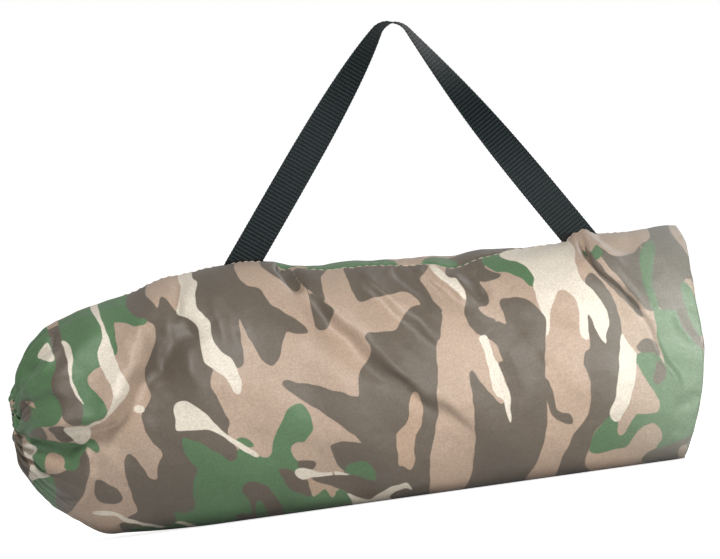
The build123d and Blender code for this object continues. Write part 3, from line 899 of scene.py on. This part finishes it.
def make_end_panel(rim):
    """The round panel, a soft dome inside the tube's rim."""
    middle = np.array([PANEL_MIDDLE, 0, 92.0])
    rho = np.linspace(0.01, 1, PANEL_RINGS)[:, None]
    share = rho**2
    s = middle[0] * (1 - share) + (rim[None, :, 0] - 0.3) * share
    y = middle[1] + (rim[None, :, 1] - middle[1]) * rho * 0.992
    z = middle[2] + (rim[None, :, 2] - middle[2]) * rho * 0.992
    turn = np.linspace(0, 2 * math.pi, rim.shape[0])[None, :]
    s = s + 0.9 * np.sin(turn * 11 + 1.2) * smoothstep(0.55, 0.95, rho) * (1 - smoothstep(0.97, 1, rho))
    s = s + 0.5 * waves(y, z, 31, 10, 20, 60) * (1 - share)
    p = np.stack([s, y, z], -1)
    # The turned-in edge goes back inside the tube
    tuck = p[-1:].repeat(len(PANEL_TURNED_IN), 0)
    tuck[:, :, 0] -= np.array(PANEL_TURNED_IN)[:, None]
    tuck[:, :, 1:] = middle[1:] + (tuck[:, :, 1:] - middle[1:]) * 0.985
    p = np.concatenate([p, tuck])
    panel = grid_object("end_panel_print", p, capped=True)
    for layer, (_, outlines) in enumerate(PRINT):
        # It is cut from the same print, about station 250
        add_field(panel, f"print_{layer}", patch_field(p[..., 1] + 250, p[..., 2], outlines))
    uv_map(panel, p[..., 1] * MM, p[..., 2] * MM)
    thicken(panel)
    dress(panel, CLOTH)
    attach(panel, "bag")
    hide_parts("end_panel", "end_seam_allowance")
    return panel, p


def make_contents(form, n, lift):
    """The soft bundle inside, always under the lowest cloth nearby."""
    p = form + n * (lowest_nearby(lift, 7) - CONTENTS_GAP)[..., None]
    p[..., 2] = np.maximum(p[..., 2], CONTENTS_GAP / 2)
    p = p[CONTENTS_FROM:-CONTENTS_FROM:CONTENTS_STEP, :-1:CONTENTS_STEP]
    faces = closed_tube_faces(*p.shape[:2])
    contents = new_mesh("packed_contents", to_row(p).tolist(), faces, smooth=True)
    dress(contents, FILLING)
    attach(contents, "bag")
    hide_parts("packed_roll")


def make_mouth_hem():
    """The gathered hem round the draw cord, crimped into little pleats."""
    around, tube = 240, 28
    a = np.linspace(0, 2 * math.pi, around, endpoint=False)[:, None]
    b = np.linspace(0, 2 * math.pi, tube, endpoint=False)[None, :]
    crimp = 1 + 0.22 * np.sin(a * 19 + 0.8 * np.sin(3 * a)) + 0 * b
    ring = HEM_RING + 0.7 * np.sin(a * 5)
    r = ring + HEM_THICKNESS * crimp * np.cos(b)
    s = HEM_STATION - HEM_THICKNESS * crimp * np.sin(b) + 0.6 * np.sin(a * 9)
    p = np.stack([s, -r * np.sin(a), MOUTH_Z + r * np.cos(a)], -1)
    p = np.concatenate([p, p[:1]])
    p = np.concatenate([p, p[:, :1]], 1)
    hem = grid_object("mouth_hem_ruffle", p)
    for layer in range(len(PRINT)):
        level = {1: np.sin(a * 2 + 0.5)}.get(layer, np.full_like(a, 5.0)) + 0 * b
        level = np.concatenate([level, level[:1]])
        level = np.concatenate([level, level[:, :1]], 1)
        add_field(hem, f"print_{layer}", level * 3)
    uv_map(hem, p[..., 1] * MM, p[..., 2] * MM)
    dress(hem, CLOTH)
    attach(hem, "bag")
    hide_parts("mouth_hem")


# ---- Thread and cord ----
def unit_rows(vectors):
    return vectors / (np.linalg.norm(vectors, axis=-1, keepdims=True) + 1e-9)


def tube(line, radius, sides, up):
    """Rings of points round a line, up being any direction that isn't along it."""
    along = unit_rows(np.gradient(line, axis=0))
    across = unit_rows(np.cross(along, up))
    over = np.cross(across, along)
    a = np.linspace(0, 2 * math.pi, sides, endpoint=False)[None, :, None]
    reach = np.broadcast_to(radius, (len(line),))[:, None, None]
    return line[:, None] + reach * (across[:, None] * np.cos(a) + over[:, None] * np.sin(a))


def tubes_object(name, tubes):
    """One mesh of closed tubes, each capped at both ends."""
    points = []
    faces = []
    for rings in tubes:
        first = len(points)
        faces += [[first + k for k in face] for face in closed_tube_faces(*rings.shape[:2])]
        points += rings.reshape(-1, 3).tolist()
    return new_mesh(name, to_row(points).tolist(), faces, smooth=True)


def stitch_tube(start, end, normal):
    """A stitch: thread that comes up through the cloth, lies on it and goes down again."""
    t = np.linspace(0, 1, 9)[:, None]
    rise = 0.95 * np.sin(math.pi * t) ** 0.5 - 0.7
    line = start + (end - start) * t + normal * rise
    return tube(line, THREAD_RADIUS, 7, np.broadcast_to(normal, line.shape))


def make_thread(name, ends, *nodes):
    """All the stitches of one seam, from (start, end, normal) of each."""
    thread = tubes_object(name, [stitch_tube(*one) for one in ends])
    dress(thread, THREAD)
    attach(thread, "bag")
    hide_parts(*nodes)


def stitches_beside_seam(p, n, arc, aside, stations):
    """The ends and normals of stitches that lie along the seam."""
    line = line_beside_seam(p, arc, aside)
    up = line_beside_seam(n, arc, aside)
    ahead = line[:, 0] > SEAM_STITCHES[0] - STITCH_PITCH
    line, up = line[ahead], up[ahead]

    def at(values, station):
        return np.array([np.interp(station, line[:, 0], values[:, k]) for k in range(3)])

    half = STITCH_LENGTH / 2
    return [(at(line, s - half), at(line, s + half), at(up, s)) for s in stations]


def make_seam_threads(p, n, arc):
    """The top seam's row of stitches, and the close stitches at each end of the strap."""
    clear = STRAP_WIDTH / 2 + 1.5 * STITCH_PITCH
    stations = np.arange(SEAM_STITCHES[0] + STITCH_PITCH / 2, SEAM_STITCHES[1], STITCH_PITCH)
    open_run = [s for s in stations if min(abs(s - LEFT_FOOT), abs(s - RIGHT_FOOT)) > clear]
    ends = stitches_beside_seam(p, n, arc, STITCH_ASIDE, open_run)
    make_thread("top_seam_thread", ends, "top_seam_stitches")
    for side, foot in (("left", LEFT_FOOT), ("right", RIGHT_FOOT)):
        close_run = [foot + step * TACK_PITCH for step in TACK_STEPS]
        ends = []
        for aside in (-STITCH_ASIDE, STITCH_ASIDE):
            ends += stitches_beside_seam(p, n, arc, aside, close_run)
        make_thread(f"strap_tack_thread_{side}", ends, f"strap_tack_{side}")


def make_hem_thread(p, n):
    """The ring of stitches that closes the hem's channel, across the mouth's pleats."""
    nose = p[:NOSE_ROWS]
    radius = np.hypot(nose[..., 1], nose[..., 2] - MOUTH_Z).mean(1)
    row = int(np.abs(radius - HEM_STITCH_RING).argmin())
    columns = np.linspace(0, p.shape[1] - 1, HEM_STITCHES, endpoint=False).astype(int)
    ends = [(p[row - 1, c], p[row + 1, c], n[row, c]) for c in columns]
    make_thread("hem_thread", ends, "hem_stitches")


def make_panel_thread(p):
    """The ring of stitches just inside the end panel's rim."""
    row = int(PANEL_STITCH_SHARE * PANEL_RINGS)
    ends = []
    outward = np.array([1.0, 0, 0])
    for c in np.linspace(0, p.shape[1] - 5, PANEL_STITCHES, endpoint=False).astype(int):
        if p[row, c, 2] > STITCHES_ABOVE:
            ends.append((p[row, c], p[row, c + PANEL_STITCH_COLUMNS], outward))
    make_thread("end_seam_thread", ends, "end_seam_stitches")


def make_draw_cord():
    """The cord: a ring inside the hem, and its ends brought in to an overhand knot."""
    t = np.linspace(0, 2 * math.pi, 97)
    ring = np.column_stack([HEM_STATION + 0 * t, CORD_RING * np.sin(t), MOUTH_Z + CORD_RING * np.cos(t)])
    knot = np.column_stack(
        [
            3.4 + KNOT_SIZE * 0.9 * np.sin(3 * t),
            KNOT_SIZE * (np.sin(t) + 2 * np.sin(2 * t)) * 0.6,
            MOUTH_Z + KNOT_SIZE * (np.cos(t) - 2 * np.cos(2 * t)) * 0.6,
        ]
    )
    along_bag = np.array([1.0, 0, 0])
    tubes = [tube(ring, CORD_RADIUS, 12, along_bag), tube(knot, KNOT_RADIUS, 12, along_bag)]
    reach = np.linspace(0, 1, 15)
    height = MOUTH_Z + CORD_RING * (1 - reach)
    for side in (-1, 1):
        end = np.column_stack([4.6 - 0.8 * reach, side * (1.2 + 0.8 * reach), height])
        tubes.append(tube(end, CORD_END_RADIUS, 12, along_bag))
    cord = tubes_object("draw_cord_knotted", tubes)
    dress(cord, CORD)
    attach(cord, "bag")
    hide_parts("draw_cord")


# ---- The strap ----
def hinge_height(station):
    """Height of the hinge line over a station."""
    run = station + MOUTH_X - HINGE_POINT[0]
    return HINGE_POINT[2] + run * HINGE_AXIS[2] / HINGE_AXIS[0]


def strap_route():
    """Points of the strap's middle line, and how far along each is, from -1 to 1 over the arch."""
    top = STRAP_TOP - STRAP_THICKNESS / 2 - ARCH_RADIUS
    centre = np.array([ARCH_STATION, top])
    feet = [np.array([s, hinge_height(s)]) for s in (LEFT_FOOT, RIGHT_FOOT)]
    touch = []
    for foot, side in zip(feet, (-1, 1)):
        dx, dz = (foot[0] - centre[0]) * side, foot[1] - centre[1]
        reach = math.hypot(dx, dz)
        touch.append(side * (math.atan2(dx, dz) - math.acos(ARCH_RADIUS / reach)))
    angles = np.linspace(touch[0], touch[1], ARCH_POINTS)
    arch = centre + ARCH_RADIUS * np.column_stack([np.sin(angles), np.cos(angles)])
    sunk = []
    for foot, leg in ((feet[0], arch[0] - feet[0]), (feet[1], arch[-1] - feet[1])):
        sunk.append(foot - leg / np.hypot(*leg) * STRAP_SUNK)
    line = np.vstack([sunk[0], arch, sunk[1]])
    length = np.concatenate([[0], np.cumsum(np.hypot(*np.diff(line, axis=0).T))])
    at = np.linspace(0, length[-1], STRAP_STEPS)
    x = np.interp(at, length, line[:, 0])
    z = np.interp(at, length, line[:, 1])
    half = ARCH_POINTS // 2
    middle = (length[half] + length[half + 1]) / 2
    share = np.where(at < middle, (at - middle) / middle, (at - middle) / (length[-1] - middle))
    return np.column_stack([x, z]), share, at


def webbing_height(across, along):
    """The webbing's relief, 0 to 1: rows of bumps across it, each row half a bump from the last."""
    row = along / RIB_PITCH
    rib = np.abs(np.sin(math.pi * row))
    pick = np.abs(np.sin(math.pi * (across / PICK_PITCH + 0.5 * (np.floor(row) % 2))))
    return rib**0.8 * (0.4 + 0.6 * pick)


def make_strap():
    """The webbing, one length from seam to seam, turned half a turn over the arch."""
    line, share, at = strap_route()
    share = np.where(share < 0, -(np.abs(share) ** LEFT_TURN), share)
    turned = np.radians(90) * (1.5 * share - 0.5 * share**3)
    tangent = np.gradient(line, axis=0)
    tangent /= np.hypot(tangent[:, 0], tangent[:, 1])[:, None]
    tx, tz = tangent[:, 0], tangent[:, 1]
    edge = np.column_stack([tz * np.sin(turned), -np.cos(turned), -tx * np.sin(turned)])
    face = np.cross(edge, np.column_stack([tx, np.zeros_like(tx), tz]))
    across = np.linspace(-STRAP_WIDTH / 2, STRAP_WIDTH / 2, STRAP_COLUMNS)
    # The two faces meet at the selvedges
    points = np.column_stack([line[:, 0], np.zeros(len(line)), line[:, 1]])
    faces_of_strap = []
    reliefs = []
    for side in (1, -1):
        order = across if side == 1 else across[::-1]
        relief = webbing_height(order[None, :] + STRAP_WIDTH, at[:, None])
        round_off = np.sqrt(np.clip(1 - (np.abs(order) / (STRAP_WIDTH / 2 + 0.15)) ** 12, 0, 1))
        lift = (STRAP_THICKNESS / 2 - RELIEF + RELIEF * relief) * round_off[None, :]
        selvedge = np.abs(order) > STRAP_WIDTH / 2 - 0.8
        scallop = 0.3 * np.abs(np.sin(math.pi * at / RIB_PITCH))[:, None] * selvedge
        wide = order[None, :] + scallop * np.sign(order)
        sideways = edge[:, None] * wide[..., None]
        faces_of_strap.append(points[:, None] + sideways + side * face[:, None] * lift[..., None])
        reliefs.append(relief)
    p = np.concatenate(faces_of_strap, 1)
    relief = np.concatenate(reliefs, 1)
    faces = closed_tube_faces(*p.shape[:2], flipped=True)
    strap = new_mesh("carry_strap_webbing", to_row(p).tolist(), faces, smooth=True)
    add_field(strap, "rib", relief)
    dress(strap, WEBBING)
    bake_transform(strap)
    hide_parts("carry_strap")


# ---- The set, the light and the camera, placed in metres ----
FRAME_WIDTH_M = 0.5688
VIEW_AT_M = Vector((0.0138, 0, 0.1754))
VIEW_ROLL = math.radians(8.02)
VIEW_LIFT = math.radians(1.0)
LENS = 600.0
SENSOR = 36.0


def camera_choice(nodes, links, others, camera):
    """One shader for what the camera sees directly, another for all other light."""
    seen = nodes.new("ShaderNodeLightPath")
    choose = nodes.new("ShaderNodeMixShader")
    links.new(seen.outputs["Is Camera Ray"], choose.inputs[0])
    links.new(others, choose.inputs[1])
    links.new(camera, choose.inputs[2])
    return choose.outputs[0]


def make_floor():
    reach = 40
    corners = [(-reach, -reach, 0), (reach, -reach, 0), (reach, reach, 0), (-reach, reach, 0)]
    floor = new_mesh("floor", corners, [(0, 1, 2, 3)])
    material, nodes, links, shader = new_material("pale floor")
    shader.inputs["Base Color"].default_value = (0.9, 0.9, 0.9, 1)
    shader.inputs["Roughness"].default_value = 0.9
    glow = nodes.new("ShaderNodeEmission")
    glow.inputs["Strength"].default_value = 0.86
    lit = nodes.new("ShaderNodeAddShader")
    links.new(shader.outputs[0], lit.inputs[0])
    links.new(glow.outputs[0], lit.inputs[1])
    chosen = camera_choice(nodes, links, shader.outputs[0], lit.outputs[0])
    links.new(chosen, nodes["Material Output"].inputs[0])
    floor.data.materials.append(material)


def area_light(name, place, target, size, power):
    data = bpy.data.lights.new(name, "AREA")
    data.shape = "DISK"
    data.size = size
    data.energy = power
    light = bpy.data.objects.new(name, data)
    bpy.context.scene.collection.objects.link(light)
    light.location = place
    direction = Vector(target) - Vector(place)
    light.rotation_euler = direction.to_track_quat("-Z", "Y").to_euler()
    light.visible_camera = False


def make_light():
    world = bpy.data.worlds.new("studio")
    bpy.context.scene.world = world
    world.use_nodes = True
    nodes = world.node_tree.nodes
    links = world.node_tree.links
    studio = nodes["Background"]
    studio.inputs[0].default_value = (1, 1, 1, 1)
    studio.inputs[1].default_value = 0.29
    backdrop = nodes.new("ShaderNodeBackground")
    backdrop.inputs[0].default_value = (1, 1, 1, 1)
    backdrop.inputs[1].default_value = 1.0
    chosen = camera_choice(nodes, links, studio.outputs[0], backdrop.outputs[0])
    links.new(chosen, nodes["World Output"].inputs[0])
    area_light("key", (-0.3, -0.74, 0.84), (0.0, 0, 0.1), 0.24, 6.9)
    area_light("right front", (0.36, -0.6, 0.2), (0.26, 0, 0.08), 0.3, 2.3)
    area_light("rim", (0.9, 0.9, 1.0), (0.1, 0, 0.1), 0.8, 5.5)


def make_camera():
    data = bpy.data.cameras.new("camera")
    data.lens = LENS
    data.sensor_width = SENSOR
    data.clip_end = 50
    camera = bpy.data.objects.new("camera", data)
    bpy.context.scene.collection.objects.link(camera)
    distance = FRAME_WIDTH_M * LENS / SENSOR
    back = Vector((0, -math.cos(VIEW_LIFT), math.sin(VIEW_LIFT)))
    level_up = Vector((0, math.sin(VIEW_LIFT), math.cos(VIEW_LIFT)))
    right = Vector((1, 0, 0)) * math.cos(VIEW_ROLL) - level_up * math.sin(VIEW_ROLL)
    up = Vector((1, 0, 0)) * math.sin(VIEW_ROLL) + level_up * math.cos(VIEW_ROLL)
    turned = Matrix((right, up, back)).transposed().to_4x4()
    camera.matrix_world = Matrix.Translation(VIEW_AT_M + back * distance) @ turned
    bpy.context.scene.camera = camera
    bpy.context.scene.view_settings.view_transform = "Standard"


# ---- Build ----
form, outward, angle, arc, cloth_lift = surface()
cloth, cloth_grid = make_cloth(form, outward, angle, arc, cloth_lift)
panel, panel_grid = make_end_panel(cloth_grid[-1])
make_contents(form, outward, cloth_lift)
make_mouth_hem()
make_seam_threads(cloth_grid, outward, arc)
make_hem_thread(cloth_grid, outward)
make_panel_thread(panel_grid)
make_draw_cord()
make_strap()
for side in ("left", "right"):
    dress(frame["nodes"][f"strap_tail_{side}"], WEBBING)

make_floor()
make_light()
make_camera()
